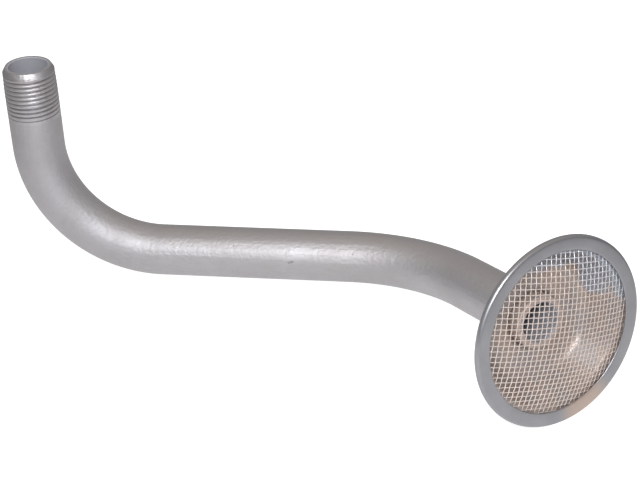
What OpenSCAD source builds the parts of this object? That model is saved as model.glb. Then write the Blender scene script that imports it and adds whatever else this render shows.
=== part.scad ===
// Oil pickup tube: a bent steel pipe with a tapered pipe thread at its outlet
// and a stamped strainer bell at its inlet. The origin is the centre of the
// threaded end face, +Z points out of the thread and the straight run of the
// pipe lies along +X. All sizes are in millimetres.

/* [Tube] */
// Outside diameter of the pipe
tube_od = 21.34; // [20:0.01:25]
// Bore of the pipe
tube_bore = 15.8; // [12:0.1:16.4]
// Straight leg from the threaded end face to the first bend
thread_leg = 35.5; // [30:0.5:80]
// Centre-line radius of the first bend, a quarter turn
first_bend_r = 48.5; // [35:0.5:80]
// Straight run between the two bends
run_length = 79; // [40:1:160]
// Centre-line radius of the second bend
second_bend_r = 65.3; // [40:0.1:100]
// Angle of the second bend
second_bend_angle = 51; // [20:1:80]
// Turn of the second bend about the run: 90 is square to the first bend
second_bend_clock = 80; // [45:1:100]
// Straight leg from the second bend to the plane of the bell's rim
bell_leg = 56; // [45:0.5:100]
// Wall that the second bend draws off the pipe, outside and inside
bend_draw = 0.03; // [0.02:0.01:0.1]
// Skim cut that sizes the end for the bell, outside and inside
end_skim = 0.03; // [0.02:0.01:0.2]
// Edge break on the cut end inside the bell
end_break = 0.4; // [0.1:0.1:0.8]

/* [Pipe thread] */
// Diameter that the tapered thread loses at the end face
thread_drop = 0.62; // [0.3:0.01:1.4]
// Taper of the thread, one on the diameter in this length
thread_taper = 16; // [12:1:18]
// Pitch of the thread, which is cut here as rings
thread_pitch = 1.81; // [1.4:0.01:2.1]
// Number of rings in the thread
thread_rings = 10; // [6:1:11]
// Depth of the thread at the end face, on the radius
thread_depth = 1; // [0.6:0.05:1.3]
// Angle between the flanks of the thread
thread_angle = 60; // [50:1:60]
// Length of the lead chamfer on the threaded end
lead_chamfer = 1.9; // [0.4:0.1:2.2]
// Depth of the lead chamfer, on the radius
lead_depth = 1.1; // [0.2:0.05:1.2]
// Chamfer on the bore's mouth
mouth_chamfer = 0.25; // [0.1:0.05:0.6]

/* [Bell] */
// Diameter over the rolled rim
rim_d = 76; // [66:0.5:100]
// Sheet thickness of the bell
sheet = 0.8; // [0.7:0.1:1.2]
// Outer radius of the two bends in the rolled rim
rim_bend_r = 1.25; // [1:0.05:1.35]
// Width of the rolled lip, from the rim's edge to the lip's inner edge
lip_width = 5.8; // [4.5:0.1:7]
// How far the crowned lip falls towards the screen
lip_drop = 0.25; // [0.15:0.05:0.6]
// Depth of the bowl, from the plane of the rim to the floor inside
bowl_depth = 14.5; // [11:0.5:22]
// Steepness of the bowl's wall, against the plane of the rim
wall_angle = 62; // [45:1:72]
// Bend radius where the flange turns into the bowl
mouth_bend_r = 2; // [1:0.1:3]
// Bend radius inside the bowl, where the wall turns into the floor
floor_bend_r = 6; // [3:0.5:8]
// Bend radius behind the floor, where it turns into the collar
collar_bend_r = 1.5; // [0.8:0.1:2.5]
// Length of the collar behind the floor inside
collar_length = 7.5; // [6:0.1:12]
// Length of pipe that stands up inside the bell
tube_stand = 4.4; // [1:0.1:7]
// Gap between the pipe and the collar, for the braze
seat_clearance = 0.05; // [0.03:0.01:0.2]
// Leg of the braze fillet behind the collar
braze_leg = 1.3; // [0.8:0.1:2.5]
// Thickness of the fillet at its two edges
braze_toe = 0.3; // [0.15:0.05:0.4]

/* [Screen] */
// Height of the dome above its clamped edge
dome_height = 4.5; // [2:0.1:9]
// Thickness of the wire cloth
cloth = 0.9; // [0.8:0.1:1.4]
// Gap between the cloth and the lip and flange that clamp it
cloth_clearance = 0.05; // [0.02:0.01:0.15]
// Spacing of the gaps in the cloth
gap_pitch = 5; // [4.9:0.1:9]
// Width of the bars between the gaps
bar_width = 1.5; // [1:0.1:2]
// Width of the ridge along each bar, which stands for its wires
ridge_width = 0.7; // [0.4:0.1:0.9]
// Height of the ridges, outside along one way of the weave, inside along the other
ridge_height = 0.2; // [0.1:0.05:0.3]
// Plain margin between the gaps and the lip
cloth_margin = 0.8; // [0.3:0.1:2]
// Turn of the weave about the bell's axis
weave_turn = -8.4; // [-45:0.1:45]

/* [Hidden] */
$fn = 96;

zinc = [0.63, 0.63, 0.64];
stamped = [0.60, 0.60, 0.62];
wire = [0.75, 0.72, 0.69];
copper = [0.72, 0.50, 0.38];

tube_r = tube_od / 2;
bore_r = tube_bore / 2;
sized_r = tube_r - bend_draw - end_skim;
sized_bore_r = bore_r + bend_draw + end_skim;
draw_root = 0.5;
thread_end_r = tube_r - thread_drop / 2;
taper_length = thread_drop * thread_taper;
thread_length = max(taper_length, lead_chamfer + thread_rings * thread_pitch);

// The rolled rim: the sheet folds over the edge of the cloth
rim_r = rim_d / 2;
fold_gap = cloth + 2 * cloth_clearance + lip_drop;
hem_half = sheet + fold_gap / 2;
fold_r = rim_r - rim_bend_r;
fold_z = hem_half - rim_bend_r;
lip_r = rim_r - lip_width;
lip_run = fold_r - lip_r;
nose_r = sheet / 2;
crown_run = lip_run - nose_r;
crown_r = (crown_run * crown_run + lip_drop * lip_drop) / (2 * lip_drop);
crown_sweep = asin(crown_run / crown_r);

// The bowl: its sloping wall runs between the bends at the mouth and floor
mouth_turn_r = mouth_bend_r + sheet;
wall_top_r = lip_r - mouth_turn_r * sin(wall_angle);
wall_top_z = mouth_turn_r * cos(wall_angle) - hem_half - mouth_bend_r;
wall_foot_z = floor_bend_r * (1 - cos(wall_angle)) - bowl_depth;
wall_foot_r = wall_top_r - (wall_top_z - wall_foot_z) / tan(wall_angle);
floor_r = wall_foot_r - floor_bend_r * sin(wall_angle);

// The collar round the pipe, and the pipe's end inside the bell
seat_r = sized_r + seat_clearance;
collar_r = seat_r + sheet + collar_bend_r;
collar_end_z = -bowl_depth - collar_length;
tube_end_z = tube_stand - bowl_depth;

// The cloth lies on the flange and rises inside the lip as a sphere's cap
cloth_z = cloth_clearance + cloth / 2 - fold_gap / 2;
dome_r = (lip_r * lip_r + dome_height * dome_height) / (2 * dome_height);
dome_centre_z = cloth_z + dome_height - dome_r;
gaps_r = lip_r - cloth_margin;
gap_side = gap_pitch - bar_width;
gap_steps = ceil(gaps_r / gap_pitch);
least_gap = 0.25;
arc_step = 12;
nose_step = 30;

// Section of the pipe's wall, less what a bend has drawn off it
module pipe_section(drawn = 0) {
    difference() {
        circle(r = tube_r - drawn);
        circle(r = bore_r + drawn);
    }
}

// Points of an arc from one angle to another, without so many at either end
function arc(centre, radius, from, to, skip_first = 0, skip_last = 0, step = arc_step) =
    let (steps = ceil(abs(to - from) / step))
    [for (k = [skip_first:steps - skip_last])
        let (a = from + (to - from) * k / steps)
            centre + radius * [cos(a), sin(a)]];

// Start of the straight run, with +X along it
module at_run() {
    translate([first_bend_r, 0, -thread_leg - first_bend_r])
        children();
}

// End of the straight run, with the second bend towards +Y
module at_second_bend() {
    at_run()
        translate([run_length, 0, 0])
            rotate([90 + second_bend_clock, 0, 0])
                children();
}

// Centre of the rim's plane, with +Z out of the bell
module at_bell() {
    at_second_bend()
        translate([0, second_bend_r, 0])
            rotate([0, 0, second_bend_angle])
                translate([bell_leg, -second_bend_r, 0])
                    rotate([0, 90, 0])
                        children();
}

// Radius over the thread's crests at a depth from the end face
function crest_at(depth) = min(tube_r, thread_end_r + depth / thread_taper / 2);

// One groove of the thread: crest, root and crest
function groove(ring) =
    let (depth = lead_chamfer + (ring + 0.5) * thread_pitch)
    let (root = thread_end_r - thread_depth + depth / thread_taper / 2)
    let (half = (crest_at(depth) - root) * tan(thread_angle / 2))
    [
        [crest_at(depth - half), half - depth],
        [root, -depth],
        [crest_at(depth + half), -half - depth]
    ];

// Threaded leg: lead chamfer, tapered thread and plain pipe
module threaded_leg() {
    rotate_extrude()
        polygon(concat(
            [
                [bore_r, -thread_leg],
                [bore_r, -mouth_chamfer],
                [bore_r + mouth_chamfer, 0],
                [crest_at(lead_chamfer) - lead_depth, 0],
                [crest_at(lead_chamfer), -lead_chamfer]
            ],
            [for (ring = [0:thread_rings - 1], point = groove(ring)) point],
            [
                [tube_r, -thread_length],
                [tube_r, -thread_leg]
            ]
        ));
}

// Straight leg into the bell, rooted in the bend and sized by a skim cut
module bell_end() {
    rotate_extrude()
        polygon([
            [sized_bore_r, -bell_leg - draw_root],
            [sized_r, -bell_leg - draw_root],
            [sized_r, tube_end_z - end_break],
            [sized_r - end_break, tube_end_z],
            [sized_bore_r + end_break, tube_end_z],
            [sized_bore_r, tube_end_z - end_break]
        ]);
}

// Part of a bend in the XY plane, from +X towards +Y about the bend's centre
module pipe_bend(radius, angle, drawn = 0) {
    rotate_extrude(angle = angle)
        translate([radius, 0])
            pipe_section(drawn);
}

// Length of straight pipe along +X
module straight_pipe(length, drawn = 0) {
    rotate([0, 90, 0])
        linear_extrude(length)
            pipe_section(drawn);
}

// Bent pipe, one piece from the thread to the end inside the bell
module pickup_tube() {
    color(zinc) union() {
        threaded_leg();
        translate([first_bend_r, 0, -thread_leg])
            rotate([90, 0, 0])
                rotate([0, 0, 180])
                    pipe_bend(first_bend_r, 90);
        at_run()
            straight_pipe(run_length);
        at_second_bend() {
            translate([-draw_root, 0, 0])
                straight_pipe(draw_root, bend_draw);
            translate([0, second_bend_r, 0])
                rotate([0, 0, -90])
                    pipe_bend(second_bend_r, second_bend_angle, bend_draw);
        }
        at_bell()
            bell_end();
    }
}

// Section of the bell's sheet: its screen side from the lip to the collar,
// then its back from the collar to the lip, whose edge is rounded
module bell_section() {
    crown = [fold_r, hem_half - crown_r];
    nose = crown + (crown_r - nose_r) * [-sin(crown_sweep), cos(crown_sweep)];
    front = [fold_r, fold_z];
    back = [fold_r, -fold_z];
    mouth = [lip_r, -hem_half - mouth_bend_r];
    heel = [floor_r, floor_bend_r - bowl_depth];
    neck = [collar_r, -bowl_depth - sheet - collar_bend_r];
    polygon(concat(
        arc(crown, crown_r - sheet, 90 + crown_sweep, 90),
        arc(front, rim_bend_r - sheet, 90, 0, skip_first = 1),
        arc(back, rim_bend_r - sheet, 0, -90),
        arc(mouth, mouth_turn_r, 90, 90 + wall_angle),
        arc(heel, floor_bend_r, 270 + wall_angle, 270),
        arc(neck, collar_bend_r + sheet, 90, 180),
        [[seat_r, collar_end_z], [seat_r + sheet, collar_end_z]],
        arc(neck, collar_bend_r, 180, 90),
        arc(heel, floor_bend_r + sheet, 270, 270 + wall_angle),
        arc(mouth, mouth_bend_r, 90 + wall_angle, 90),
        arc(back, rim_bend_r, -90, 0),
        arc(front, rim_bend_r, 0, 90, skip_last = 1),
        arc(crown, crown_r, 90, 90 + crown_sweep),
        arc(nose, nose_r, 90 + crown_sweep, 270 + crown_sweep,
            skip_first = 1, skip_last = 1, step = nose_step)
    ));
}

// Stamped bell with its rim rolled over the screen, one piece of sheet
module pickup_bell() {
    color(stamped)
        at_bell()
            rotate_extrude()
                bell_section();
}

// Wall of the wire cloth: a cap of a sphere with a flat clamped edge
module cloth_wall() {
    rotate_extrude() {
        intersection() {
            translate([0, dome_centre_z])
                difference() {
                    circle(r = dome_r + cloth / 2);
                    circle(r = dome_r - cloth / 2);
                }
            translate([0, cloth_z - cloth])
                square([lip_r, dome_height + 2 * cloth]);
        }
        translate([lip_r - cloth / 2, cloth_z - cloth / 2])
            square([lip_run + cloth / 2, cloth]);
    }
}

// Outline of the gaps in the weave, square and clear of the lip
module gap_outline() {
    intersection() {
        rotate([0, 0, weave_turn])
            for (i = [-gap_steps:gap_steps], j = [-gap_steps:gap_steps])
                if (gap_pitch * (norm([i, j]) + least_gap) < gaps_r)
                    translate(gap_pitch * [i, j])
                        square(gap_side, center = true);
        circle(r = gaps_r);
    }
}

// Outline of the hollows between the ridges, which run along the weave's X
module hollow_outline(turn) {
    difference() {
        circle(r = gaps_r);
        rotate([0, 0, weave_turn + turn])
            for (i = [-gap_steps:gap_steps - 1])
                translate([0, gap_pitch * (i + 0.5)])
                    square([2 * rim_r, ridge_width], center = true);
    }
}

// Prism through the cloth, over an outline
module through_cloth() {
    translate([0, 0, cloth_z - 2 * cloth])
        linear_extrude(dome_height + 4 * cloth)
            children();
}

// Ball that the cloth lies on, at a height over the middle of the cloth
module dome_ball(height) {
    translate([0, 0, dome_centre_z])
        sphere(r = dome_r + height);
}

// Domed strainer screen, clamped in the rolled rim
module strainer_screen() {
    color(wire)
        at_bell()
            difference() {
                cloth_wall();
                difference() {
                    through_cloth()
                        hollow_outline(0);
                    dome_ball(cloth / 2 - ridge_height);
                }
                intersection() {
                    through_cloth()
                        hollow_outline(90);
                    dome_ball(ridge_height - cloth / 2);
                }
                through_cloth()
                    gap_outline();
            }
}

// Copper fillet that joins the collar to the pipe
module braze_fillet() {
    color(copper)
        at_bell()
            rotate_extrude()
                translate([sized_r, collar_end_z - braze_leg])
                    difference() {
                        square(braze_leg);
                        translate([braze_leg, 0])
                            circle(r = braze_leg - braze_toe);
                    }
}

pickup_tube();
pickup_bell();
strainer_screen();
braze_fillet();
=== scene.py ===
"""Oil pickup tube: a bent threaded pipe, a stamped bell and a woven strainer screen."""

import logging
import math
from collections.abc import Iterator
from contextlib import contextmanager
from dataclasses import dataclass, field
from enum import Enum

import bpy
from mathutils import Matrix, Vector


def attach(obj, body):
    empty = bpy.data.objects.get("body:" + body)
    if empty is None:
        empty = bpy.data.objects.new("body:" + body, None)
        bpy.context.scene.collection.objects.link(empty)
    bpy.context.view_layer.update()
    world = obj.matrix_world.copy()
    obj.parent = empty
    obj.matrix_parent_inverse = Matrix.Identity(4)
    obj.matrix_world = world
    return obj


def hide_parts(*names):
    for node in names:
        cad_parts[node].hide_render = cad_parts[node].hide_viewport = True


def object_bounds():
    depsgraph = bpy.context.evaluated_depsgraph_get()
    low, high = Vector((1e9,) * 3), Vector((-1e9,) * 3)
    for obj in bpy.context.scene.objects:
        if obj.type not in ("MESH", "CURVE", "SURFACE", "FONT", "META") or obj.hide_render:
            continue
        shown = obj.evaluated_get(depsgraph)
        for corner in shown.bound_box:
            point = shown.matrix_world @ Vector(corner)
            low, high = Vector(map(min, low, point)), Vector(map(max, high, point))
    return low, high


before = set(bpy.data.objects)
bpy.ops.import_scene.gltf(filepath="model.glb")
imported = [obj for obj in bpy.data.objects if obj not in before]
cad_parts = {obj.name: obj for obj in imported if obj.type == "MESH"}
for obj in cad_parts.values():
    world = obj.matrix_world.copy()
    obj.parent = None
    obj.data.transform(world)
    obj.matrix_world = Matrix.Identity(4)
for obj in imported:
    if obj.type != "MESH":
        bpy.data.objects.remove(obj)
CAD_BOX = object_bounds()

LOG = logging.getLogger("oil_pickup_tube")
MM = 0.001
MERGE = 1e-7
FLOOR_GAP = 0.1 * MM
PIXEL = 1 / 640

Triple = tuple[float, float, float]
Colour = tuple[float, float, float]
Point = tuple[float, float]
Span = tuple[float, float]
# A noise is its scale per metre and its detail.
Noise = tuple[float, float]
# A ramp is a range of values and the results at its two ends.
Ramp = tuple[Span, Span]
# A relief is the strength of a bump and its depth in metres.
Relief = tuple[float, float]
RISE: Span = (0.0, 1.0)
FALL: Span = (1.0, 0.0)


class Slot(Enum):
    """Material slot names of the part's record, which the pieces here don't use."""

    TUBE = "tube_steel"
    BELL = "bell_steel"
    SCREEN = "screen_wire"


class Lay(Enum):
    """The two families of wires in a plain weave."""

    WARP = 0
    WEFT = 1


def activate(piece: bpy.types.Object) -> None:
    """Makes a piece the only selected object and the active one.

    Args:
        piece: Object that the next operators work on.
    """
    bpy.ops.object.select_all(action="DESELECT")
    piece.select_set(True)
    bpy.context.view_layer.objects.active = piece


def apply_place(piece: bpy.types.Object) -> None:
    """Applies a piece's place to its mesh, so that its object sits at the origin.

    Args:
        piece: Piece to apply it to.
    """
    activate(piece)
    bpy.ops.object.transform_apply(location=True, rotation=True, scale=True)


@contextmanager
def edit_mode(piece: bpy.types.Object) -> Iterator[None]:
    """Opens a piece in edit mode for the length of a with block.

    Args:
        piece: Object to edit.
    """
    activate(piece)
    bpy.ops.object.mode_set(mode="EDIT")
    try:
        yield
    finally:
        bpy.ops.object.mode_set(mode="OBJECT")


def add_ring(
    name: str, sides: int, radius: float, place: Vector, facing: Triple = (0.0, 0.0, 0.0)
) -> bpy.types.Object:
    """Adds an open circle of edges, the start of a lofted piece.

    Args:
        name: Name of the piece.
        sides: Number of corners.
        radius: Radius of the ring.
        place: Centre of the ring.
        facing: Euler angles of the ring.

    Returns:
        The new object, with its place applied to its mesh.
    """
    bpy.ops.object.select_all(action="DESELECT")
    bpy.ops.mesh.primitive_circle_add(
        vertices=sides, radius=radius, location=place, rotation=facing
    )
    piece = bpy.context.object
    piece.name = name
    piece.data.name = name
    apply_place(piece)
    return piece


def pull(step: Vector) -> None:
    """Extrudes the selected ring by a step."""
    bpy.ops.mesh.extrude_region_move(TRANSFORM_OT_translate={"value": tuple(step)})


def swell(factor: float, centre: Vector) -> None:
    """Resizes the selected ring about its centre."""
    bpy.ops.transform.resize(value=(factor, factor, factor), center_override=tuple(centre))


def merge_and_face_out() -> None:
    """Merges the doubles of the mesh in edit mode and turns its faces outwards."""
    bpy.ops.mesh.select_all(action="SELECT")
    bpy.ops.mesh.remove_doubles(threshold=MERGE)
    bpy.ops.mesh.normals_make_consistent(inside=False)


def close_shell() -> None:
    """Bridges the two open ends of the shell in edit mode and turns its faces outwards."""
    bpy.ops.mesh.select_all(action="DESELECT")
    bpy.ops.mesh.select_non_manifold()
    bpy.ops.mesh.bridge_edge_loops()
    merge_and_face_out()


def smooth(piece: bpy.types.Object, degrees: float) -> None:
    """Shades a piece smooth, apart from edges sharper than an angle."""
    activate(piece)
    bpy.ops.object.shade_smooth_by_angle(angle=math.radians(degrees))


def set_in_place(piece: bpy.types.Object, matrix: Matrix) -> None:
    """Puts a piece that was modelled at the origin in its place."""
    piece.matrix_world = matrix
    apply_place(piece)


def dress(piece: bpy.types.Object, finish: bpy.types.Material, node: str) -> None:
    """Gives a finished piece its material and its place in the part.

    Args:
        piece: Finished mesh object.
        finish: Material of the piece.
        node: CAD node that the piece stands for.
    """
    piece.data.materials.clear()
    piece.data.materials.append(finish)
    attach(piece, "root")
    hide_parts(node)
    LOG.info("%s: %d faces, stands for %s", piece.name, len(piece.data.polygons), node)


class NodeBoard:
    """A material's node tree, built up node by node."""

    NOISE_ROUGHNESS = 0.55
    RAMP_SOCKETS = ("From Min", "From Max", "To Min", "To Max")
    MIX_SOCKETS = (0, 6, 7)
    MIX_RESULT = 2

    def __init__(self, name: str) -> None:
        """Starts an empty tree with its output.

        Args:
            name: Name of the material.
        """
        self.material = bpy.data.materials.new(name)
        self.material.use_nodes = True
        self.tree = self.material.node_tree
        self.tree.nodes.clear()
        self.output = self.tree.nodes.new("ShaderNodeOutputMaterial")

    def add(self, kind: str, settings: dict | None = None, **inputs: object) -> bpy.types.Node:
        """Adds a node.

        Args:
            kind: Node type without its ShaderNode prefix.
            settings: Properties of the node.
            inputs: Values or output sockets for the inputs, by name, with _ for a blank.

        Returns:
            The new node.
        """
        node = self.tree.nodes.new("ShaderNode" + kind)
        for key, value in (settings or {}).items():
            setattr(node, key, value)
        for key, value in inputs.items():
            self.feed(node.inputs[key.replace("_", " ")], value)
        return node

    def feed(self, socket: bpy.types.NodeSocket, value: object) -> None:
        """Links an output socket to an input, or sets the input's value."""
        if isinstance(value, bpy.types.NodeSocket):
            self.tree.links.new(value, socket)
        elif isinstance(value, tuple) and len(value) == 3 and socket.type == "RGBA":
            socket.default_value = (*value, 1.0)
        else:
            socket.default_value = value

    def place(self) -> bpy.types.NodeSocket:
        """Adds the shaded point's Object coordinates."""
        return self.add("TexCoord").outputs["Object"]

    def attribute(self, name: str, output: str) -> bpy.types.NodeSocket:
        """Adds an attribute of the piece's mesh and returns one of its outputs."""
        return self.add("Attribute", {"attribute_name": name}).outputs[output]

    def maths(self, operation: str, *values: object, clamp: bool = False) -> bpy.types.NodeSocket:
        """Adds a Math node.

        Args:
            operation: Name of the operation.
            values: Numbers or sockets.
            clamp: Whether to clamp the result to 0 and 1.

        Returns:
            The result's socket.
        """
        node = self.add("Math", {"operation": operation, "use_clamp": clamp})
        for socket, value in zip(node.inputs, values):
            self.feed(socket, value)
        return node.outputs[0]

    def vector_maths(
        self, operation: str, *values: object, output: str = "Vector"
    ) -> bpy.types.NodeSocket:
        """Adds a Vector Math node.

        Args:
            operation: Name of the operation.
            values: Vectors or sockets.
            output: Which result to return, Vector or Value.

        Returns:
            The result's socket.
        """
        node = self.add("VectorMath", {"operation": operation})
        for socket, value in zip(node.inputs, values):
            self.feed(socket, value)
        return node.outputs[output]

    def noise(
        self, vector: bpy.types.NodeSocket, scale: float, detail: float
    ) -> bpy.types.NodeSocket:
        """Adds a noise texture and returns its factor."""
        inputs = {"Scale": scale, "Detail": detail, "Roughness": self.NOISE_ROUGHNESS}
        return self.add("TexNoise", Vector=vector, **inputs).outputs["Fac"]

    def ramp(
        self, value: bpy.types.NodeSocket, span: Span, results: Span
    ) -> bpy.types.NodeSocket:
        """Maps a range of values smoothly to another.

        Args:
            value: Socket to map.
            span: Start and end of the range.
            results: Results at the start and at the end.

        Returns:
            The result's socket.
        """
        node = self.add("MapRange", {"interpolation_type": "SMOOTHSTEP"})
        for key, number in zip(self.RAMP_SOCKETS, (*span, *results)):
            node.inputs[key].default_value = number
        self.feed(node.inputs["Value"], value)
        return node.outputs["Result"]

    def blend(self, factor: object, first: object, second: object) -> bpy.types.NodeSocket:
        """Mixes two colours.

        Args:
            factor: Number or socket.
            first: Colour at factor 0.
            second: Colour at factor 1.

        Returns:
            The mixed colour's socket.
        """
        node = self.add("Mix", {"data_type": "RGBA"})
        for index, value in zip(self.MIX_SOCKETS, (factor, first, second)):
            self.feed(node.inputs[index], value)
        return node.outputs[self.MIX_RESULT]

    def metal(
        self, colour: object, roughness: object, metallic: object, height: object, relief: Relief
    ) -> bpy.types.Material:
        """Closes the tree with a bumped metal surface.

        Args:
            colour: Base colour.
            roughness: Roughness.
            metallic: Share of bare metal.
            height: Height of the bump.
            relief: Strength and depth of the bump.

        Returns:
            The finished material.
        """
        strength, depth = relief
        bump = self.add("Bump", Strength=strength, Distance=depth, Height=height)
        shader = self.add("BsdfPrincipled", Base_Color=colour, Roughness=roughness)
        self.feed(shader.inputs["Metallic"], metallic)
        self.feed(shader.inputs["Normal"], bump.outputs["Normal"])
        return self.finish(shader.outputs["BSDF"])

    def finish(self, shader: bpy.types.NodeSocket) -> bpy.types.Material:
        """Links the shader to the output and returns the material."""
        self.tree.links.new(shader, self.output.inputs["Surface"])
        return self.material


@dataclass(frozen=True)
class BellPlace:
    """Where the bell sits: the centre of its rim and its axes, in the part's frame."""

    centre: Vector
    across: Vector
    beside: Vector
    axis: Vector

    def matrix(self) -> Matrix:
        """Returns the turn and shift from the bell's own frame to the part's frame."""
        turn = Matrix((self.across, self.beside, self.axis)).transposed().to_4x4()
        return Matrix.Translation(self.centre) @ turn

    def local(self, board: NodeBoard) -> tuple[bpy.types.NodeSocket, ...]:
        """Adds nodes that give a shaded point in the bell's own frame.

        Args:
            board: Node tree to add to.

        Returns:
            Sockets of the point's three coordinates in metres.
        """
        offset = board.vector_maths("SUBTRACT", board.place(), tuple(self.centre))
        return tuple(
            board.vector_maths("DOT_PRODUCT", offset, tuple(way), output="Value")
            for way in (self.across, self.beside, self.axis)
        )


@dataclass(frozen=True)
class CopperAndSheenReach:
    """How far the brazing's copper and a painted warm reflection run up the bell: its upper edge,
    which falls to one side.
    """

    top: float
    # The edge and its falls trace where the painted warm reflection ends.
    falls: tuple[Ramp, ...]
    lip_r: Ramp = ((31.5 * MM, 33.5 * MM), RISE)
    lip_level: Ramp = ((-0.3 * MM, 0.2 * MM), RISE)
    depth: Ramp = ((-20.0 * MM, -17.5 * MM), RISE)
    edge: Ramp = ((-0.8 * MM, 1.2 * MM), RISE)
    wander: Noise = (180.0, 3.0)
    wander_width: float = 5.0 * MM

    def mask(self, board: NodeBoard, bell: BellPlace) -> bpy.types.NodeSocket:
        """Adds the mask of the copper and the painted warm reflection, which stays off the top of
        the lip.

        Args:
            board: Node tree to add to.
            bell: Place of the bell.

        Returns:
            Socket that is 1 where the copper and the painted warm reflection lie.
        """
        up, side, out = bell.local(board)
        wander = board.maths("SUBTRACT", board.noise(board.place(), *self.wander), 0.5)
        wander = board.maths("MULTIPLY", wander, self.wander_width)
        top: object = self.top
        for fall in self.falls:
            top = board.maths("SUBTRACT", top, board.ramp(side, *fall))
        below = board.maths("SUBTRACT", top, board.maths("ADD", up, wander))
        squares = [board.maths("MULTIPLY", part, part) for part in (up, side)]
        reach = board.maths("SQRT", board.maths("ADD", *squares))
        above = board.ramp(out, *self.lip_level)
        lip = board.maths("MULTIPLY", board.ramp(reach, *self.lip_r), above)
        mask = board.ramp(below, *self.edge)
        mask = board.maths("MULTIPLY", mask, board.maths("SUBTRACT", 1.0, lip))
        return board.maths("MULTIPLY", mask, board.ramp(out, *self.depth))


@dataclass(frozen=True)
class BlastedSteel:
    """Satin steel with a blasted grain, draw marks and a few nicks.

    It is rougher on the stretched first bend and smoother on the cut thread. The bore is duller,
    and the end in the bell has copper from the brazing, with a painted warm reflection over it.
    """

    bell: BellPlace
    name: str = "blasted_steel"
    colour: Colour = (0.495, 0.49, 0.505)
    dull: Colour = (0.43, 0.408, 0.40)
    bore: Colour = (0.40, 0.40, 0.43)
    # Copper from the brazing with painted warm reflection, on the end in the bell.
    copper_and_warm_sheen: Colour = (0.64, 0.52, 0.45)
    mottle: Noise = (55.0, 4.0)
    grain: Noise = (620.0, 3.0)
    draw_marks: Noise = (420.0, 2.0)
    mark_squeeze: float = 0.04
    patch_share: Ramp = ((0.3, 0.7), (0.2, 0.6))
    speck_share: Ramp = ((0.35, 0.75), (0.0, 0.3))
    mark_share: Ramp = ((0.5, 0.8), (0.0, 0.25))
    roughness: Ramp = ((0.25, 0.75), (0.54, 0.62))
    stretched: Ramp = ((25.0 * MM, 55.0 * MM), (0.08, 0.0))
    cut: Ramp = ((-22.2 * MM, -21.4 * MM), (0.0, -0.19))
    wall: Ramp = ((8.2 * MM, 8.5 * MM), RISE)
    wall_metallic: Ramp = (RISE, (0.25, 1.0))
    brazed_and_sheen: Ramp = ((-17.5 * MM, -14.5 * MM), (0.0, 0.9))
    brazed_metallic: Ramp = ((0.0, 0.9), (1.0, 0.5))
    grain_height: float = 0.5
    mark_height: float = 0.35
    nick_height: float = -0.1
    relief: Relief = (1.0, 0.4 * MM)
    nick_shade: float = 0.72
    nick_edge: Span = (0.9, 1.5)
    nick_wobble: Noise = (900.0, 2.0)
    nicks: tuple[tuple[Vector, float], ...] = (
        (Vector((103.8, -10.4, -81.8)) * MM, 0.6 * MM),
        (Vector((104.6, -10.4, -81.6)) * MM, 0.8 * MM),
        (Vector((105.4, -10.4, -81.3)) * MM, 0.55 * MM),
        (Vector((80.3, -7.4, -76.3)) * MM, 0.45 * MM),
        (Vector((130.1, -8.6, -77.7)) * MM, 0.5 * MM),
    )

    def material(self) -> bpy.types.Material:
        """Builds the node tree and returns the material."""
        board = NodeBoard(self.name)
        place = board.place()
        straight = board.attribute(PickupTube.STRAIGHT, "Vector")
        along = board.vector_maths("MULTIPLY", straight, (self.mark_squeeze, 1.0, 1.0))
        mottle = board.noise(place, *self.mottle)
        grain = board.noise(place, *self.grain)
        marks = board.noise(along, *self.draw_marks)
        nick = self._nick_mask(board, place)
        colour = board.blend(board.ramp(mottle, *self.patch_share), self.colour, self.dull)
        colour = board.blend(board.ramp(grain, *self.speck_share), colour, self.dull)
        colour = board.blend(board.ramp(marks, *self.mark_share), colour, self.dull)
        colour = board.blend(nick, colour, tuple(self.nick_shade * part for part in self.dull))
        # Copper with painted warm reflection on the end in the bell.
        brazed_and_sheen = board.ramp(self.bell.local(board)[2], *self.brazed_and_sheen)
        colour = board.blend(brazed_and_sheen, colour, self.copper_and_warm_sheen)
        off_centre = board.vector_maths("MULTIPLY", straight, (0.0, 1.0, 1.0))
        reach = board.vector_maths("LENGTH", off_centre, output="Value")
        wall = board.ramp(reach, *self.wall)
        colour = board.blend(wall, self.bore, colour)
        part = board.add("SeparateXYZ", Vector=place).outputs
        roughness = board.ramp(mottle, *self.roughness)
        for change in (board.ramp(part["X"], *self.stretched), board.ramp(part["Z"], *self.cut)):
            roughness = board.maths("ADD", roughness, change)
        height = board.maths("MULTIPLY", grain, self.grain_height)
        for mark, rise in ((marks, self.mark_height), (nick, self.nick_height)):
            height = board.maths("ADD", height, board.maths("MULTIPLY", mark, rise))
        metallic = board.ramp(wall, *self.wall_metallic)
        metallic = board.maths("MULTIPLY", metallic, board.ramp(brazed_and_sheen, *self.brazed_metallic))
        return board.metal(colour, roughness, metallic, height, self.relief)

    def _nick_mask(self, board: NodeBoard, place: bpy.types.NodeSocket) -> object:
        """Adds the mask of the nicks.

        Args:
            board: Node tree to add to.
            place: Socket of the shaded point.

        Returns:
            Socket that is 1 in a nick.
        """
        mask: object = 0.0
        wobble = board.noise(place, *self.nick_wobble)
        for spot, radius in self.nicks:
            reach = board.vector_maths("DISTANCE", place, tuple(spot), output="Value")
            reach = board.maths("ADD", reach, board.maths("MULTIPLY", wobble, radius))
            inner, outer = (radius * edge for edge in self.nick_edge)
            mask = board.maths("MAXIMUM", mask, board.ramp(reach, (inner, outer), FALL))
        return mask


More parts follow.
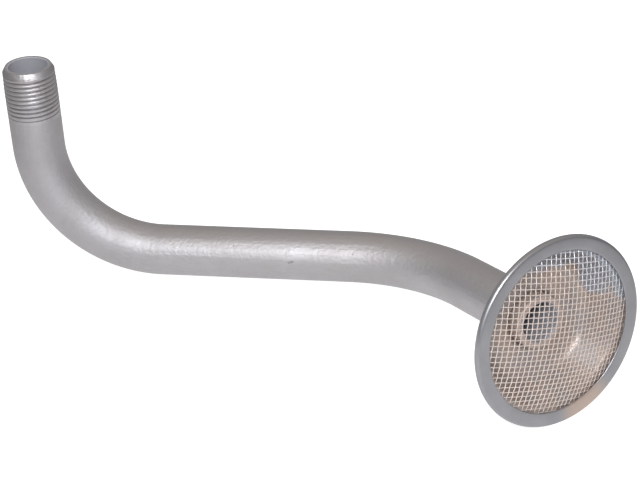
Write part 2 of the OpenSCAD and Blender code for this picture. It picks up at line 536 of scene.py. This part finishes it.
@dataclass(frozen=True)
class FlashedSteelWithPaintedSheen:
    """Steel of the bell, with the brazing's copper and a painted warm reflection inside, and a
    painted cool reflection where the copper stops.
    """

    bell: BellPlace
    name: str = "flashed_steel_painted_sheen"
    colour: Colour = (0.35, 0.35, 0.363)
    dull: Colour = (0.305, 0.305, 0.315)
    # Inside steel, lighter and bluer: painted cool reflection.
    bare: Colour = (0.40, 0.425, 0.46)
    # Copper from the brazing with painted warm reflection; also the painted warm reflection on the
    # lip.
    copper_and_warm_sheen: Colour = (0.51, 0.415, 0.355)
    # Duller end of the copper and painted warm reflection, mixed with it in clouds.
    haze: Colour = (0.43, 0.39, 0.378)
    mottle: Noise = (70.0, 4.0)
    grain: Noise = (1500.0, 3.0)
    clouds: Noise = (95.0, 3.0)
    patch_share: Ramp = ((0.3, 0.7), (0.0, 0.6))
    speck_share: Ramp = ((0.35, 0.75), (0.0, 0.3))
    cloud_share: Ramp = ((0.38, 0.62), RISE)
    # A painted warm reflection on the lip, in the copper's colour.
    lip_warm_reflection: Triple = (225.3 * MM, -64.7 * MM, -105.5 * MM)
    lip_reflection_share: Ramp = ((5.0 * MM, 14.0 * MM), (0.95, 0.0))
    inner_face: Ramp = ((0.05, 0.2), RISE)
    inner_level: Ramp = ((-0.3 * MM, 0.2 * MM), FALL)
    roughness: Ramp = ((0.25, 0.75), (0.34, 0.46))
    metallic: Ramp = (RISE, (0.9, 0.5))
    relief: Relief = (0.3, 0.03 * MM)
    reach: CopperAndSheenReach = CopperAndSheenReach(20.0 * MM, (((-23.5 * MM, -15.0 * MM), (12.5 * MM, 0.0)),))

    def material(self) -> bpy.types.Material:
        """Builds the node tree and returns the material."""
        board = NodeBoard(self.name)
        place = board.place()
        mottle = board.noise(place, *self.mottle)
        grain = board.noise(place, *self.grain)
        steel = board.blend(board.ramp(mottle, *self.patch_share), self.colour, self.dull)
        steel = board.blend(board.ramp(grain, *self.speck_share), steel, self.dull)
        # Painted warm reflection on the lip.
        spot = board.vector_maths("DISTANCE", place, self.lip_warm_reflection, output="Value")
        steel = board.blend(board.ramp(spot, *self.lip_reflection_share), steel, self.copper_and_warm_sheen)
        inner = board.ramp(board.attribute(PickupBell.FACING, "Fac"), *self.inner_face)
        level = board.ramp(self.bell.local(board)[2], *self.inner_level)
        inner = board.maths("MULTIPLY", inner, level)
        # The bare inside is painted cool reflection; over it goes the copper with painted warm
        # reflection.
        copper = board.maths("MULTIPLY", inner, self.reach.mask(board, self.bell))
        clouds = board.ramp(board.noise(place, *self.clouds), *self.cloud_share)
        copper_and_sheen_tone = board.blend(clouds, self.haze, self.copper_and_warm_sheen)
        colour = board.blend(copper, board.blend(inner, steel, self.bare), copper_and_sheen_tone)
        roughness = board.ramp(mottle, *self.roughness)
        metallic = board.ramp(inner, *self.metallic)
        return board.metal(colour, roughness, metallic, grain, self.relief)


@dataclass(frozen=True)
class DrawnWire:
    """Bright drawn wire of the screen, tinted by the copper and by a painted warm reflection where
    the mask reaches.
    """

    bell: BellPlace
    name: str = "drawn_wire"
    colour: Colour = (0.80, 0.80, 0.83)
    dull: Colour = (0.64, 0.64, 0.664)
    # Copper tint with painted warm reflection.
    copper_and_warm_sheen: Colour = (0.81, 0.72, 0.66)
    mottle: Noise = (300.0, 3.0)
    grain: Noise = (2500.0, 2.0)
    patch_share: Ramp = ((0.3, 0.75), (0.0, 0.3))
    roughness: Ramp = ((0.3, 0.7), (0.34, 0.48))
    metallic: float = 0.7
    relief: Relief = (0.2, 0.02 * MM)
    reach: CopperAndSheenReach = CopperAndSheenReach(
        27.2 * MM,
        (
            ((-10.8 * MM, -6.0 * MM), (13.5 * MM, 0.0)),
            ((-33.0 * MM, -21.5 * MM), (7.5 * MM, 0.0)),
        ),
    )

    def material(self) -> bpy.types.Material:
        """Builds the node tree and returns the material."""
        board = NodeBoard(self.name)
        place = board.place()
        mottle = board.noise(place, *self.mottle)
        grain = board.noise(place, *self.grain)
        bright = board.blend(board.ramp(mottle, *self.patch_share), self.colour, self.dull)
        # Copper tint and painted warm reflection where the mask reaches.
        colour = board.blend(self.reach.mask(board, self.bell), bright, self.copper_and_warm_sheen)
        roughness = board.ramp(mottle, *self.roughness)
        return board.metal(colour, roughness, self.metallic, grain, self.relief)


@dataclass(frozen=True)
class CopperBraze:
    """Copper fillet, dulled by the furnace."""

    name: str = "copper_braze"
    colour: Colour = (0.66, 0.40, 0.28)
    dull: Colour = (0.45, 0.33, 0.27)
    mottle: Noise = (220.0, 4.0)
    patch_share: Ramp = ((0.35, 0.7), RISE)
    roughness: Ramp = ((0.3, 0.7), (0.32, 0.52))
    metallic: float = 1.0
    relief: Relief = (0.5, 0.08 * MM)

    def material(self) -> bpy.types.Material:
        """Builds the node tree and returns the material."""
        board = NodeBoard(self.name)
        mottle = board.noise(board.place(), *self.mottle)
        colour = board.blend(board.ramp(mottle, *self.patch_share), self.colour, self.dull)
        roughness = board.ramp(mottle, *self.roughness)
        return board.metal(colour, roughness, self.metallic, mottle, self.relief)


@dataclass
class PickupTube:
    """Bent pipe with a tapered thread, one piece from the thread to its end in the bell."""

    STRAIGHT = "straightened"

    outer_r: float = 10.67 * MM
    bore_r: float = 7.9 * MM
    thread_leg: float = 35.5 * MM
    first_bend_r: float = 48.5 * MM
    run: float = 79 * MM
    second_bend_r: float = 65.3 * MM
    second_angle: float = math.radians(51)
    second_clock: float = math.radians(80)
    bell_leg: float = 56 * MM
    end_depth: float = 10.1 * MM
    end_break: float = 0.4 * MM
    lead_chamfer: float = 1.9 * MM
    lead_depth: float = 1.1 * MM
    mouth_chamfer: float = 0.25 * MM
    crest_r: float = 10.36 * MM
    taper: float = 1 / 32
    pitch: float = 1.8143 * MM
    thread_depth: float = 1.0 * MM
    flank_angle: float = math.radians(30)
    break_angle: float = math.radians(60)
    crest_break: float = 0.15 * MM
    lead_in: float = 3.3 * MM
    lead_fade: float = 1.5 * MM
    thread_full: float = 18.2 * MM
    thread_end: float = 21.6 * MM
    cutter_proud: float = 0.08 * MM
    turns_past_end: float = 1.5
    crease: float = 32.0
    sides: int = 96
    steps_per_bend: int = 40
    steps_per_turn: int = 72

    @property
    def first_centre(self) -> Vector:
        """Centre of the first bend."""
        return Vector((self.first_bend_r, 0, -self.thread_leg))

    @property
    def run_start(self) -> Vector:
        """Start of the straight run."""
        return Vector((self.first_bend_r, 0, -self.thread_leg - self.first_bend_r))

    @property
    def inward(self) -> Vector:
        """Direction from the end of the run to the second bend's centre."""
        return Vector((0, -math.sin(self.second_clock), math.cos(self.second_clock)))

    @property
    def hinge(self) -> Vector:
        """Axis that the second bend turns about."""
        return Vector((1, 0, 0)).cross(self.inward)

    @property
    def run_end(self) -> Vector:
        """End of the straight run."""
        return self.run_start + Vector((self.run, 0, 0))

    @property
    def second_centre(self) -> Vector:
        """Centre of the second bend."""
        return self.run_end + self.second_bend_r * self.inward

    @property
    def bell_way(self) -> Vector:
        """Direction of the leg into the bell."""
        ahead = math.cos(self.second_angle) * Vector((1, 0, 0))
        return ahead + math.sin(self.second_angle) * self.inward

    @property
    def leg_start(self) -> Vector:
        """Start of the leg into the bell."""
        turn = Matrix.Rotation(self.second_angle, 3, self.hinge)
        return self.second_centre + turn @ (-self.second_bend_r * self.inward)

    def bell_place(self) -> BellPlace:
        """Returns where the bell sits on the pipe's end."""
        across = Vector((0, math.cos(self.second_clock), math.sin(self.second_clock)))
        axis = self.bell_way
        return BellPlace(self.leg_start + self.bell_leg * axis, across, axis.cross(across), axis)

    def build(self, finish: bpy.types.Material) -> bpy.types.Object:
        """Models the pipe and dresses it.

        Args:
            finish: Material of the pipe.

        Returns:
            The finished piece.
        """
        lead_r = self.crest_r + self.lead_chamfer * self.taper
        tube = add_ring("PickupTube", self.sides, lead_r - self.lead_depth, Vector())
        with edit_mode(tube):
            self._shape_outside(lead_r)
            self._turn_in()
            self._shape_bore()
            close_shell()
        self._cut_thread(tube)
        smooth(tube, self.crease)
        self._straighten(tube)
        dress(tube, finish, "pickup_tube")
        return tube

    def _bend(self, angle: float, centre: Vector, axis: Vector) -> None:
        """Spins the selected ring round a bend, right-handed about its axis."""
        bpy.ops.mesh.spin(
            steps=self.steps_per_bend, angle=-angle, center=tuple(centre), axis=tuple(axis)
        )

    def _shape_outside(self, lead_r: float) -> None:
        """Runs the outside from the threaded end face to the bell.

        Args:
            lead_r: Radius of the thread's crests behind the lead chamfer.
        """
        taper_end = (self.outer_r - self.crest_r) / self.taper
        pull(Vector((0, 0, -self.lead_chamfer)))
        swell(lead_r / (lead_r - self.lead_depth), Vector((0, 0, -self.lead_chamfer)))
        pull(Vector((0, 0, self.lead_chamfer - taper_end)))
        swell(self.outer_r / lead_r, Vector((0, 0, -taper_end)))
        pull(Vector((0, 0, taper_end - self.thread_leg)))
        self._bend(math.pi / 2, self.first_centre, Vector((0, -1, 0)))
        pull(Vector((self.run, 0, 0)))
        self._bend(self.second_angle, self.second_centre, self.hinge)
        pull((self.bell_leg - self.end_depth - self.end_break) * self.bell_way)

    def _turn_in(self) -> None:
        """Turns the wall in at the pipe's end inside the bell, with both edges broken."""
        end = self.leg_start + (self.bell_leg - self.end_depth) * self.bell_way
        edge = self.end_break * self.bell_way
        face_outer_r = self.outer_r - self.end_break
        face_inner_r = self.bore_r + self.end_break
        pull(edge)
        swell(face_outer_r / self.outer_r, end)
        pull(Vector())
        swell(face_inner_r / face_outer_r, end)
        pull(-edge)
        swell(self.bore_r / face_inner_r, end - edge)

    def _shape_bore(self) -> None:
        """Runs the bore back from the bell to the threaded end face."""
        pull(-(self.bell_leg - self.end_depth - self.end_break) * self.bell_way)
        self._bend(-self.second_angle, self.second_centre, self.hinge)
        pull(Vector((-self.run, 0, 0)))
        self._bend(-math.pi / 2, self.first_centre, Vector((0, -1, 0)))
        pull(Vector((0, 0, self.thread_leg - self.mouth_chamfer)))
        pull(Vector((0, 0, self.mouth_chamfer)))
        swell((self.bore_r + self.mouth_chamfer) / self.bore_r, Vector())

    def _cut_thread(self, tube: bpy.types.Object) -> None:
        """Cuts the tapered thread with a helical cutter.

        Args:
            tube: The pipe to cut.
        """
        cutter = self._thread_cutter()
        activate(tube)
        cut = tube.modifiers.new("thread", "BOOLEAN")
        cut.operation = "DIFFERENCE"
        cut.solver = "EXACT"
        cut.object = cutter
        bpy.ops.object.modifier_apply(modifier=cut.name)
        bpy.data.objects.remove(cutter)
        # The cut leaves sliver faces, which the merge takes away.
        with edit_mode(tube):
            merge_and_face_out()

    def _thread_cutter(self) -> bpy.types.Object:
        """Models the cutter: a vee with spread edges, wound along the thread and past the end face.

        Returns:
            The cutter, a closed mesh.
        """
        flank = (self.thread_depth - self.crest_break) * math.tan(self.flank_angle)
        half = flank + (self.crest_break + self.cutter_proud) * math.tan(self.break_angle)
        root_r = self.crest_r - self.thread_depth
        break_r = self.crest_r - self.crest_break
        top_r = self.crest_r + self.cutter_proud
        corners = (
            (root_r, 0.0),
            (break_r, flank),
            (top_r, half),
            (top_r, -half),
            (break_r, -flank),
        )
        cutter = add_ring("thread_cutter", len(corners), self.pitch, Vector())
        for vertex, (radius, rise) in zip(cutter.data.vertices, corners):
            vertex.co = (radius, 0.0, rise - self.thread_end)
        activate(cutter)
        wind = cutter.modifiers.new("wind", "SCREW")
        wind.axis = "Z"
        wind.angle = math.tau
        wind.screw_offset = self.pitch
        wind.iterations = math.ceil(self.thread_end / self.pitch + self.turns_past_end)
        wind.steps = wind.render_steps = self.steps_per_turn
        wind.use_smooth_shade = False
        bpy.ops.object.modifier_apply(modifier=wind.name)
        for vertex in cutter.data.vertices:
            vertex.co = self._lift(vertex.co)
        with edit_mode(cutter):
            bpy.ops.mesh.select_all(action="SELECT")
            bpy.ops.mesh.fill_holes(sides=len(corners))
            bpy.ops.mesh.normals_make_consistent(inside=False)
        return cutter

    def _lift(self, point: Vector) -> Vector:
        """Moves a point of the cutter out along the taper, at the worn lead and at the run-out.

        Args:
            point: Point of the straight cutter.

        Returns:
            The moved point.
        """
        depth = -point.z
        lift = self.taper * depth
        if depth > self.thread_full:
            share = (depth - self.thread_full) / (self.thread_end - self.thread_full)
            lift += share * share * self.thread_depth
        elif depth < self.lead_in:
            share = (self.lead_in - depth) / self.lead_fade
            lift += share * share * self.thread_depth
        flat = Vector((point.x, point.y, 0))
        return point + lift * flat.normalized()

    def _straighten(self, tube: bpy.types.Object) -> None:
        """Writes each point's place in the pipe before it was bent, for marks that run along it.

        Args:
            tube: The pipe.
        """
        store = tube.data.attributes.new(self.STRAIGHT, "FLOAT_VECTOR", "POINT")
        for vertex in tube.data.vertices:
            store.data[vertex.index].vector = self._before_bending(vertex.co)

    def _before_bending(self, point: Vector) -> Vector:
        """Unbends a point of the pipe.

        Args:
            point: Point in the part's frame.

        Returns:
            Length along the pipe, and the two offsets from its centre line.
        """
        quarter = self.first_bend_r * math.pi / 2
        if point.x < self.first_bend_r:
            if point.z > -self.thread_leg:
                return Vector((-point.z, point.x, point.y))
            spoke = point - self.first_centre
            length = self.first_bend_r * math.atan2(-spoke.z, -spoke.x)
            toward = self.first_bend_r - math.hypot(spoke.x, spoke.z)
            return Vector((self.thread_leg + length, toward, point.y))
        if point.x < self.run_end.x:
            offset = point - self.run_start
            return Vector((self.thread_leg + quarter + offset.x, offset.z, offset.y))
        spoke = point - self.second_centre
        turn = math.atan2(spoke.x, -spoke.dot(self.inward))
        over = spoke.dot(self.hinge)
        if turn < self.second_angle:
            reach = math.hypot(spoke.x, spoke.dot(self.inward))
            length, toward = self.second_bend_r * turn, self.second_bend_r - reach
        else:
            offset = point - self.leg_start
            side = Matrix.Rotation(self.second_angle, 3, self.hinge) @ self.inward
            length = self.second_bend_r * self.second_angle + offset.dot(self.bell_way)
            toward = offset.dot(side)
        offset = toward * self.inward + over * self.hinge
        return Vector((self.thread_leg + quarter + self.run + length, offset.z, offset.y))


def arc(centre: Point, radius: float, start: float, end: float, step: float = 6.0) -> list[Point]:
    """Gives points along an arc.

    Args:
        centre: Centre of the arc.
        radius: Its radius.
        start: First angle in degrees.
        end: Last angle in degrees.
        step: Largest angle between points.

    Returns:
        Points from the first angle to the last.
    """
    count = max(1, math.ceil(abs(end - start) / step))
    angles = (math.radians(start + (end - start) * k / count) for k in range(count + 1))
    across, up = centre
    return [(across + radius * math.cos(a), up + radius * math.sin(a)) for a in angles]


@dataclass
class PickupBell:
    """Stamped bell with its rim rolled over the screen's edge."""

    FACING = "facing"

    place: BellPlace
    rim_r: float = 38 * MM
    sheet: float = 0.8 * MM
    rim_bend_r: float = 1.25 * MM
    lip_width: float = 5.8 * MM
    lip_drop: float = 0.25 * MM
    bowl_depth: float = 14.5 * MM
    wall_angle: float = 62.0
    mouth_bend_r: float = 2 * MM
    floor_bend_r: float = 6 * MM
    collar_bend_r: float = 1.5 * MM
    collar_length: float = 7.5 * MM
    seat_r: float = 10.66 * MM
    cloth: float = 0.9 * MM
    cloth_clearance: float = 0.05 * MM
    crease: float = 35.0
    sides: int = 144
    crown_step: float = 2.0
    hem_step: float = 9.0
    bend_step: float = 10.0
    fold_step: float = 15.0

    @property
    def fold_gap(self) -> float:
        """Room between the flange and the folded rim."""
        return self.cloth + 2 * self.cloth_clearance + self.lip_drop

    @property
    def hem_half(self) -> float:
        """Half the height of the rolled rim."""
        return self.sheet + self.fold_gap / 2

    @property
    def lip_r(self) -> float:
        """Radius of the lip's inner edge."""
        return self.rim_r - self.lip_width

    def section(self) -> list[Point]:
        """Gives the closed section of the sheet.

        Returns:
            Points as radius and height, round the section.
        """
        fold_r = self.rim_r - self.rim_bend_r
        nose_r = self.sheet / 2
        crown_run = fold_r - self.lip_r - nose_r
        crown_r = (crown_run * crown_run + self.lip_drop * self.lip_drop) / (2 * self.lip_drop)
        sweep = math.degrees(math.asin(crown_run / crown_r))
        slope = math.radians(self.wall_angle)
        outer_turn = self.mouth_bend_r + self.sheet
        top_r = self.lip_r - outer_turn * math.sin(slope)
        top_z = outer_turn * math.cos(slope) - self.hem_half - self.mouth_bend_r
        foot_z = self.floor_bend_r * (1 - math.cos(slope)) - self.bowl_depth
        foot_r = top_r - (top_z - foot_z) / math.tan(slope)
        crown = (fold_r, self.hem_half - crown_r)
        nose_z = crown[1] + (crown_r - nose_r) * math.cos(math.radians(sweep))
        nose = (fold_r - (crown_r - nose_r) * crown_run / crown_r, nose_z)
        front = (fold_r, self.hem_half - self.rim_bend_r)
        back = (fold_r, self.rim_bend_r - self.hem_half)
        mouth = (self.lip_r, -self.hem_half - self.mouth_bend_r)
        heel = (foot_r - self.floor_bend_r * math.sin(slope), self.floor_bend_r - self.bowl_depth)
        neck_r = self.seat_r + self.sheet + self.collar_bend_r
        neck = (neck_r, -self.bowl_depth - self.sheet - self.collar_bend_r)
        end = -self.bowl_depth - self.collar_length
        wall = self.wall_angle
        points = arc(crown, crown_r - self.sheet, 90 + sweep, 90, self.crown_step)
        points += arc(front, self.rim_bend_r - self.sheet, 90, 0, self.fold_step)[1:]
        points += arc(back, self.rim_bend_r - self.sheet, 0, -90, self.fold_step)
        points += arc(mouth, outer_turn, 90, 90 + wall)
        points += arc(heel, self.floor_bend_r, 270 + wall, 270)
        points += arc(neck, self.collar_bend_r + self.sheet, 90, 180, self.bend_step)
        points += [(self.seat_r, end), (self.seat_r + self.sheet, end)]
        points += arc(neck, self.collar_bend_r, 180, 90, self.bend_step)
        points += arc(heel, self.floor_bend_r + self.sheet, 270, 270 + wall)
        points += arc(mouth, self.mouth_bend_r, 90 + wall, 90, self.bend_step)
        points += arc(back, self.rim_bend_r, -90, 0, self.hem_step)
        points += arc(front, self.rim_bend_r, 0, 90, self.hem_step)[:-1]
        points += arc(crown, crown_r, 90, 90 + sweep, self.crown_step)
        points += arc(nose, nose_r, 90 + sweep, 270 + sweep, self.fold_step)[1:-1]
        return points

    def build(self, finish: bpy.types.Material) -> bpy.types.Object:
        """Models the bell ring by ring and dresses it.

        Args:
            finish: Material of the bell.

        Returns:
            The finished piece.
        """
        points = self.section()
        radius, height = points[0]
        bell = add_ring("PickupBell", self.sides, radius, Vector((0, 0, height)))
        with edit_mode(bell):
            for next_r, next_z in points[1:]:
                pull(Vector((0, 0, next_z - height)))
                swell(next_r / radius, Vector((0, 0, next_z)))
                radius, height = next_r, next_z
            close_shell()
        smooth(bell, self.crease)
        set_in_place(bell, self.place.matrix())
        self._mark_facing(bell)
        dress(bell, finish, "pickup_bell")
        return bell

    def _mark_facing(self, bell: bpy.types.Object) -> None:
        """Writes how far each point faces out of the mouth, to tell the inside from the outside.

        Args:
            bell: The bell, in its place.
        """
        store = bell.data.attributes.new(self.FACING, "FLOAT", "POINT")
        for vertex in bell.data.vertices:
            store.data[vertex.index].value = vertex.normal.dot(self.place.axis)


@dataclass
class StrainerScreen:
    """Plain woven wire cloth, pressed to a shallow dome and clamped in the rim."""

    bell: PickupBell
    dome_height: float = 4.5 * MM
    pitch: float = 2.117 * MM
    wire_r: float = 0.205 * MM
    edge_r: float = 36.2 * MM
    turn: float = math.radians(-8.4)
    phase: dict[Lay, float] = field(default_factory=lambda: {Lay.WARP: -0.27, Lay.WEFT: 0.37})
    crimp: dict[Lay, float] = field(default_factory=lambda: {Lay.WARP: 0.45, Lay.WEFT: 0.55})
    spare_pitches: int = 3
    crease: float = 60.0
    sides: int = 8
    rings_per_pitch: int = 6

    def build(self, finish: bpy.types.Material) -> bpy.types.Object:
        """Weaves the cloth, drapes it on the dome and dresses it.

        Args:
            finish: Material of the wire.

        Returns:
            The finished piece.
        """
        wires = [wire for lay in Lay for wire in self._family(lay)]
        bpy.ops.object.select_all(action="DESELECT")
        for wire in wires:
            wire.select_set(True)
        screen = wires[0]
        bpy.context.view_layer.objects.active = screen
        bpy.ops.object.join()
        # The swap of the cloth's two ways turns the warp inside out.
        with edit_mode(screen):
            bpy.ops.mesh.select_all(action="SELECT")
            bpy.ops.mesh.normals_make_consistent(inside=False)
        screen.name = screen.data.name = "StrainerScreen"
        for vertex in screen.data.vertices:
            vertex.co.z += self._drape(math.hypot(vertex.co.x, vertex.co.y))
        smooth(screen, self.crease)
        turn = Matrix.Rotation(self.turn, 4, "Z")
        set_in_place(screen, self.bell.place.matrix() @ turn)
        dress(screen, finish, "strainer_screen")
        return screen

    def _wave(self, lay: Lay, length: float) -> float:
        """Gives a wire's rise over and under the wires that it crosses."""
        return self.crimp[lay] * self.wire_r * math.cos(math.pi * length / self.pitch)

    def _master_wire(self, lay: Lay) -> bpy.types.Object:
        """Models one long waved wire along X.

        Args:
            lay: Which of the two families the wire is for.

        Returns:
            The open wire, with a crossing at the origin.
        """
        step = self.pitch / self.rings_per_pitch
        count = math.ceil((self.edge_r + self.spare_pitches * self.pitch) / step)
        start = -count * step
        first = Vector((start, 0, self._wave(lay, start)))
        wire = add_ring("wire", self.sides, self.wire_r, first, (0, math.pi / 2, 0))
        with edit_mode(wire):
            for k in range(2 * count):
                here = start + k * step
                rise = self._wave(lay, here + step) - self._wave(lay, here)
                pull(Vector((step, 0, rise)))
        return wire

    def _family(self, lay: Lay) -> list[bpy.types.Object]:
        """Copies one wire across the disc, each copy cut to its chord.

        Args:
            lay: Which of the two families to make.

        Returns:
            The wires of the family.
        """
        master = self._master_wire(lay)
        other = Lay.WEFT if lay is Lay.WARP else Lay.WARP
        reach = math.floor(self.edge_r / self.pitch) + 1
        wires = []
        for index in range(-reach, reach + 1):
            aside = (index + self.phase[lay]) * self.pitch
            if abs(aside) > self.edge_r - self.pitch:
                continue
            half = math.sqrt(self.edge_r * self.edge_r - aside * aside)
            wire = master.copy()
            wire.data = master.data.copy()
            bpy.context.collection.objects.link(wire)
            turned = (index + lay.value) % 2
            wire.location = ((self.phase[other] + turned) * self.pitch, 0, 0)
            apply_place(wire)
            self._trim(wire, half)
            set_in_place(wire, self._across(lay, aside))
            wires.append(wire)
        bpy.data.objects.remove(master)
        return wires

    def _across(self, lay: Lay, aside: float) -> Matrix:
        """Gives the place of a wire in its family.

        Args:
            lay: Which of the two families the wire is in.
            aside: Distance from the disc's middle.

        Returns:
            A shift for the weft, and for the warp also a swap of the cloth's two ways.
        """
        if lay is Lay.WEFT:
            return Matrix.Translation((0, aside, 0))
        swap = Matrix(((0, 1, 0, 0), (1, 0, 0, 0), (0, 0, 1, 0), (0, 0, 0, 1)))
        return Matrix.Translation((aside, 0, 0)) @ swap

    def _trim(self, wire: bpy.types.Object, half: float) -> None:
        """Cuts both ends of a wire off square and closes them.

        Args:
            wire: Wire along X.
            half: Half the length to keep.
        """
        with edit_mode(wire):
            for way in (1.0, -1.0):
                bpy.ops.mesh.select_all(action="SELECT")
                bpy.ops.mesh.bisect(
                    plane_co=(way * half, 0, 0),
                    plane_no=(way, 0, 0),
                    use_fill=True,
                    clear_outer=True,
                    threshold=MERGE,
                )

    def _drape(self, radius: float) -> float:
        """Gives the height of the cloth's middle.

        Args:
            radius: Distance from the bell's axis.

        Returns:
            Height above the plane of the rim's middle.
        """
        bell = self.bell
        seat = bell.cloth_clearance + bell.cloth / 2 - bell.fold_gap / 2
        if radius >= bell.lip_r:
            return seat
        height = self.dome_height
        ball_r = (bell.lip_r * bell.lip_r + height * height) / (2 * height)
        return seat + height - ball_r + math.sqrt(ball_r * ball_r - radius * radius)


@dataclass(frozen=True)
class SoftBox:
    """A soft studio light."""

    name: str
    place: Vector
    aim: Vector
    size: Span
    power: float
    colour: Colour

    def hang(self) -> None:
        """Adds the light to the scene."""
        data = bpy.data.lights.new(self.name, "AREA")
        data.shape = "RECTANGLE"
        data.size, data.size_y = self.size
        data.energy = self.power
        data.color = self.colour
        lamp = bpy.data.objects.new(self.name, data)
        lamp.location = self.place
        lamp.rotation_euler = (self.aim - self.place).to_track_quat("-Z", "Y").to_euler()
        bpy.context.scene.collection.objects.link(lamp)


@dataclass
class Studio:
    """Pale floor, soft light and the camera.

    The floor's tones and glows are given near the part and far from it. Its glow is seen by the
    camera, and more weakly by what the metal mirrors.
    """

    floor_z: float
    floor_size: float = 6.0
    floor_cells: int = 4
    floor_near: Colour = (0.62, 0.625, 0.64)
    floor_far: Colour = (0.36, 0.365, 0.38)
    floor_reach: Ramp = ((0.15, 0.55), RISE)
    floor_centre: Vector = Vector((0.10, -0.08, 0))
    mirrored_glow: Span = (0.38, 0.0)
    seen_glow: Span = (0.80, 0.95)
    sky_top: Colour = (0.62, 0.57, 0.53)
    sky_low: Colour = (0.30, 0.325, 0.36)
    sky_rise: Span = (0.05, 0.75)
    key_above: float = 0.1
    key_left: float = 0.05
    key_aim: Vector = Vector((0.11, -0.03, -0.07))
    key_size: Span = (0.16, 0.12)
    key_power: float = 3.4
    key_colour: Colour = (0.93, 0.95, 1.0)
    eye: Vector = Vector((0.20024, -0.55619, 0.25834))
    right: Vector = Vector((0.990944, 0.129809, -0.034346))
    up: Vector = Vector((-0.037255, 0.511540, 0.858451))
    lens: float = 88.48
    sensor: float = 36.0
    nearest: float = 0.01
    shift: Span = (-0.5 * PIXEL, 0.5 * PIXEL)

    def build(self) -> None:
        """Sets up the floor, the light, the world and the camera."""
        self._floor()
        self._sky()
        self._key_light()
        self._camera()

    def _floor(self) -> None:
        """Lays the floor."""
        bpy.ops.object.select_all(action="DESELECT")
        bpy.ops.mesh.primitive_grid_add(
            x_subdivisions=self.floor_cells,
            y_subdivisions=self.floor_cells,
            size=self.floor_size,
            location=(0, 0, self.floor_z),
        )
        floor = bpy.context.object
        floor.name = "Floor"
        apply_place(floor)
        floor.data.materials.append(self._floor_paint())

    def _floor_paint(self) -> bpy.types.Material:
        """Builds the floor's matt paint, with a glow that only the camera and the metal see."""
        board = NodeBoard("pale_floor")
        centre = tuple(self.floor_centre + Vector((0, 0, self.floor_z)))
        reach = board.vector_maths("DISTANCE", board.place(), centre, output="Value")
        away = board.ramp(reach, *self.floor_reach)
        paint = board.add("BsdfDiffuse", Color=board.blend(away, self.floor_near, self.floor_far))
        ray = board.add("LightPath").outputs
        mirrored = board.maths("ADD", ray["Is Glossy Ray"], ray["Is Transmission Ray"], clamp=True)
        glows = [
            board.maths("MULTIPLY", share, board.ramp(away, RISE, strengths))
            for share, strengths in (
                (ray["Is Camera Ray"], self.seen_glow),
                (mirrored, self.mirrored_glow),
            )
        ]
        glow = board.add("Emission", Strength=board.maths("ADD", *glows))
        both = board.add("AddShader")
        for socket, shader in zip(both.inputs, (paint, glow)):
            board.feed(socket, shader.outputs[0])
        return board.finish(both.outputs[0])

    def _sky(self) -> None:
        """Makes the even light of the room, dimmer and cooler towards the horizon."""
        world = bpy.data.worlds.new("room")
        world.use_nodes = True
        bpy.context.scene.world = world
        tree = world.node_tree
        tree.nodes.clear()
        way = tree.nodes.new("ShaderNodeTexCoord")
        part = tree.nodes.new("ShaderNodeSeparateXYZ")
        tree.links.new(way.outputs["Generated"], part.inputs[0])
        ramp = tree.nodes.new("ShaderNodeValToRGB")
        tones = (self.sky_low, self.sky_top)
        for stop, tone, height in zip(ramp.color_ramp.elements, tones, self.sky_rise):
            stop.color = (*tone, 1)
            stop.position = height
        tree.links.new(part.outputs["Z"], ramp.inputs["Fac"])
        sky = tree.nodes.new("ShaderNodeBackground")
        tree.links.new(ramp.outputs["Color"], sky.inputs["Color"])
        out = tree.nodes.new("ShaderNodeOutputWorld")
        tree.links.new(sky.outputs[0], out.inputs["Surface"])

    def _key_light(self) -> None:
        """Hangs the one lamp, above the camera and to its left."""
        place = self.eye + self.key_above * self.up - self.key_left * self.right
        key = SoftBox("key", place, self.key_aim, self.key_size, self.key_power, self.key_colour)
        key.hang()

    def _camera(self) -> None:
        """Sets the camera at the photograph's viewing angle."""
        data = bpy.data.cameras.new("camera")
        data.sensor_width = self.sensor
        data.lens = self.lens
        data.clip_start = self.nearest
        data.shift_x, data.shift_y = self.shift
        camera = bpy.data.objects.new("camera", data)
        back = self.right.cross(self.up)
        turn = Matrix((self.right, self.up, back)).transposed().to_4x4()
        camera.matrix_world = Matrix.Translation(self.eye) @ turn
        bpy.context.scene.collection.objects.link(camera)
        bpy.context.scene.camera = camera


def main() -> None:
    """Builds the pieces in order, dresses them and sets the stage."""
    logging.basicConfig(level=logging.INFO, format="%(name)s: %(message)s")
    bpy.context.scene.view_settings.view_transform = "Standard"
    tube = PickupTube()
    place = tube.bell_place()
    bell = PickupBell(place)
    tube.build(BlastedSteel(place).material())
    bell.build(FlashedSteelWithPaintedSheen(place).material())
    StrainerScreen(bell).build(DrawnWire(place).material())
    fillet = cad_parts["braze_fillet"]
    fillet.data.materials.clear()
    fillet.data.materials.append(CopperBraze().material())
    LOG.info("%s: CAD solid kept, copper finish", fillet.name)
    Studio(floor_z=CAD_BOX[0][2] - FLOOR_GAP).build()


if __name__ == "__main__":
    main()
